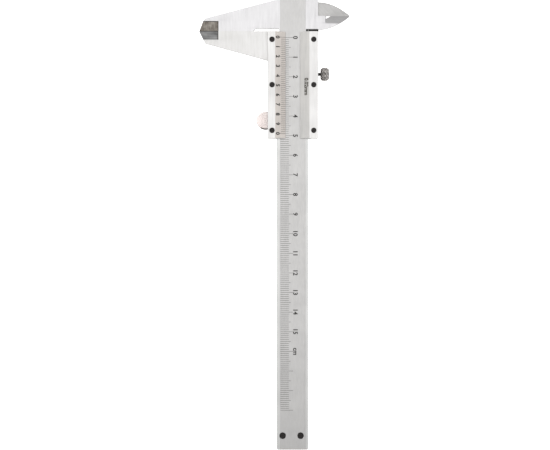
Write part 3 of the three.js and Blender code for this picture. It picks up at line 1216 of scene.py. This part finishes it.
def turned_mesh(
    name: str,
    rings: Sequence[tuple[float, float]],
    around: int,
    relief: Callable[[float, float, float], float],
) -> bpy.types.Mesh:
    """A closed mesh turned about +Z from rings that start and end on the axis.

    Args:
        name: The mesh's name.
        rings: Radius and height of each ring, in millimetres.
        around: Points on each ring.
        relief: Gives the true radius from radius, height and angle.

    Returns:
        The mesh in metres.
    """
    work = bmesh.new()
    loops = []
    for radius, along in rings[1:-1]:
        angles = [2 * math.pi * i / around for i in range(around)]
        loops.append(
            [
                work.verts.new(
                    (
                        relief(radius, along, a) * math.cos(a) * MM,
                        relief(radius, along, a) * math.sin(a) * MM,
                        along * MM,
                    )
                )
                for a in angles
            ]
        )
    for lower, upper in zip(loops, loops[1:]):
        for i in range(around):
            j = (i + 1) % around
            work.faces.new((lower[i], lower[j], upper[j], upper[i]))
    for loop, (_, along) in ((loops[0], rings[0]), (loops[-1], rings[-1])):
        pole = work.verts.new((0, 0, along * MM))
        for i in range(around):
            work.faces.new((pole, loop[i], loop[(i + 1) % around]))
    bmesh.ops.recalc_face_normals(work, faces=work.faces)
    mesh = bpy.data.meshes.new(name)
    work.to_mesh(mesh)
    work.free()
    return mesh


@dataclass
class ThumbRest:
    """The round thumb rest, with turning grooves on its face and a serrated rim."""

    around: int = 240
    teeth: int = 60
    tooth_depth: float = 0.22
    grooves: int = 5
    groove_depth: float = 0.1
    rounding: float = 0.65

    def build(self, layout: Layout, finish: Finishes) -> None:
        """Makes the disc and mounts it in place of its CAD node.

        Args:
            layout: Places on the caliper.
            finish: The finishes.
        """
        low, high = (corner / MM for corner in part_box("thumb_rest"))
        radius = (high.y - low.y) / 2
        rings = self._profile(radius, low.z, high.z)
        mesh = turned_mesh("thumb_disc", rings, self.around, self._serrate(radius))
        mesh.materials.append(finish.turned)
        mesh.materials.append(finish.dark_edge)
        shaded_side = Vector((0.5, -0.87))  # the rim's lower right, where shade is painted
        # Painted shade: faces of the rim's rounding on the lower right take the dark edge finish.
        for face in mesh.polygons:
            way = face.center.xy
            rim = way.length > (radius - self.rounding) * MM and 0.1 < face.normal.z
            face.material_index = int(rim and way.normalized().dot(shaded_side) > 0.45)
        mesh.transform(Matrix.Translation((low + high) / 2 * MM * Vector((1, 1, 0))))
        shade_smooth(mesh, 40)
        mount(new_object(mesh.name, mesh), "slider", "thumb_rest_steel", "thumb_rest")

    def _profile(self, radius: float, low: float, high: float) -> list[tuple[float, float]]:
        """Rings up the rim and in over the grooved face.

        Args:
            radius: Radius before any relief.
            low: Height of the underside.
            high: Height of the grooved face.

        Returns:
            Pairs of a radius and a place along the axis.
        """
        edge = self.rounding
        rounded = [math.radians(15 * i) for i in range(7)]
        rim = [
            (0.0, low),
            (radius - edge, low),
            (radius, low + edge),
            *(
                (radius - edge + edge * math.cos(a), high - edge + edge * math.sin(a))
                for a in rounded
            ),
        ]
        face = []
        reach = radius - edge
        for i in range(self.grooves):
            outer = reach - (i + 0.3) * reach / self.grooves
            for share, drop in ((0.0, 0.0), (0.25, 1.0), (0.5, 0.0)):
                face.append((outer - share * reach / self.grooves, high - drop * self.groove_depth))
        return [*rim, *face, (0.0, high)]

    def _serrate(self, full: float) -> Callable[[float, float, float], float]:
        """Cuts vertical teeth into the rim.

        Args:
            full: Radius of the rim.

        Returns:
            The relief for turned_mesh.
        """

        def relief(radius: float, along: float, angle: float) -> float:
            """The rim's radius at this angle.

            Args:
                radius: Radius before the teeth.
                along: Place along the axis; the teeth are the same at each.
                angle: Angle about the axis.

            Returns:
                The true radius.
            """
            if radius < full - 0.01:
                return radius
            return radius - self.tooth_depth * abs(math.sin(self.teeth * angle / 2))

        return relief


@dataclass
class SmallParts:
    """The screws, the gib and its grub screws."""

    plate_screws: Sequence[str] = tuple(f"plate_screw_{i}" for i in range(1, 7))
    end_screws: Sequence[str] = ("end_screw_1", "end_screw_2")
    grub_screws: Sequence[str] = ("gib_screw_1", "gib_screw_2")

    def build(self, layout: Layout, finish: Finishes) -> None:
        """Makes them all.

        Args:
            layout: Places on the caliper.
            finish: The finishes.
        """
        for body, nodes in (
            ("slider", self.plate_screws),
            ("beam", self.end_screws),
            ("slider", self.grub_screws),
        ):
            for node in nodes:
                MachinedBody(
                    node,
                    node + "_finished",
                    body,
                    "black_screws",
                    finish.black,
                    broken_edge=0.08,
                ).build(layout)
        MachinedBody("gib_leaf", "gib_strip", "gib", "gib_bronze", finish.bronze).build(layout)


# -------------------------------------------------------------------- studio


@dataclass
class Studio:
    """A light table, soft light from above and the camera straight over the tool."""

    lens: float = 90.0
    sensor: float = 36.0
    view_width: float = 280.3
    view_centre: tuple[float, float] = (0.3, -0.8)
    table_size: float = 12000.0
    lamp_size: tuple[float, float] = (2800.0, 1100.0)
    lamp_place: Point = (-450.0, 280.0, 1300.0)  # towards the head: the far end is dimmer
    lamp_power: float = 10.6
    room_strength: float = 0.94
    bright_side: Point = (-0.06, 0.3, 0.95)
    table_glow: float = 0.9

    def build(self, layout: Layout) -> None:
        """Sets the table, the light and the camera.

        Args:
            layout: Places on the caliper.
        """
        self._table()
        self._light()
        self._camera(layout)

    def _table(self) -> None:
        """A pale matt light table under the tool."""
        half = self.table_size / 2 * MM
        mesh = bpy.data.meshes.new("table")
        corners = [(-half, -half, 0), (half, -half, 0), (half, half, 0), (-half, half, 0)]
        mesh.from_pydata(corners, [], [(0, 1, 2, 3)])
        material = bpy.data.materials.new("white_table")
        material.use_nodes = True
        shader = material.node_tree.nodes["Principled BSDF"]
        shader.inputs["Base Color"].default_value = linear("FBFBFB")
        shader.inputs["Roughness"].default_value = 0.9
        shader.inputs["Emission Color"].default_value = linear("FBFBFB")
        shader.inputs["Emission Strength"].default_value = self.table_glow
        mesh.materials.append(material)
        table = new_object("table", mesh)

    def _light(self) -> None:
        """A broad lamp overhead, and a room that is brighter above and towards the head."""
        lamp = bpy.data.lights.new("overhead_lamp", "AREA")
        lamp.shape = "RECTANGLE"
        lamp.size, lamp.size_y = (side * MM for side in self.lamp_size)
        lamp.energy = self.lamp_power
        holder = bpy.data.objects.new("overhead_lamp", lamp)
        holder.location = Vector(self.lamp_place) * MM
        bpy.context.scene.collection.objects.link(holder)
        world = bpy.data.worlds.new("room")
        bpy.context.scene.world = world
        world.use_nodes = True
        tree = world.node_tree
        tree.nodes.clear()
        ways = add_node(tree, "ShaderNodeTexCoord").outputs["Generated"]
        toward = add_node(
            tree,
            "ShaderNodeVectorMath",
            {0: ways, 1: Vector(self.bright_side).normalized()},
            operation="DOT_PRODUCT",
        )
        ramp = add_node(tree, "ShaderNodeValToRGB", {"Fac": toward.outputs["Value"]})
        ramp.color_ramp.elements[0].color = (0.3, 0.3, 0.3, 1)
        ramp.color_ramp.elements[0].position = 0.0
        ramp.color_ramp.elements[1].color = (1.0, 1.0, 1.0, 1)
        ramp.color_ramp.elements[1].position = 0.65
        sky = add_node(
            tree,
            "ShaderNodeBackground",
            {"Color": ramp.outputs["Color"], "Strength": self.room_strength},
        )
        add_node(tree, "ShaderNodeOutputWorld", {"Surface": sky.outputs[0]})

    def _camera(self, layout: Layout) -> None:
        """A long lens looking straight down on the graduated face.

        Args:
            layout: Places on the caliper.
        """
        lens = bpy.data.cameras.new("camera")
        lens.lens = self.lens
        lens.sensor_width = self.sensor
        holder = bpy.data.objects.new("camera", lens)
        distance = self.view_width * self.lens / self.sensor
        x, y = self.view_centre
        holder.location = (x * MM, y * MM, (layout.face + distance) * MM)
        bpy.context.scene.collection.objects.link(holder)
        bpy.context.scene.camera = holder


# ---------------------------------------------------------------------- main


def main() -> None:
    """Builds the caliper on its frame and sets the studio."""
    logging.basicConfig(level=logging.INFO, format="%(name)s: %(message)s")
    bpy.context.scene.view_settings.view_transform = "Standard"
    layout = Layout.from_frame()
    Studio().build(layout)
    finish = Finishes()
    Beam().build(layout, finish)
    Slider().build(layout, finish)
    ThumbRest().build(layout, finish)
    SmallParts().build(layout, finish)
    Knob().build(layout, finish)


if __name__ == "__main__":
    main()
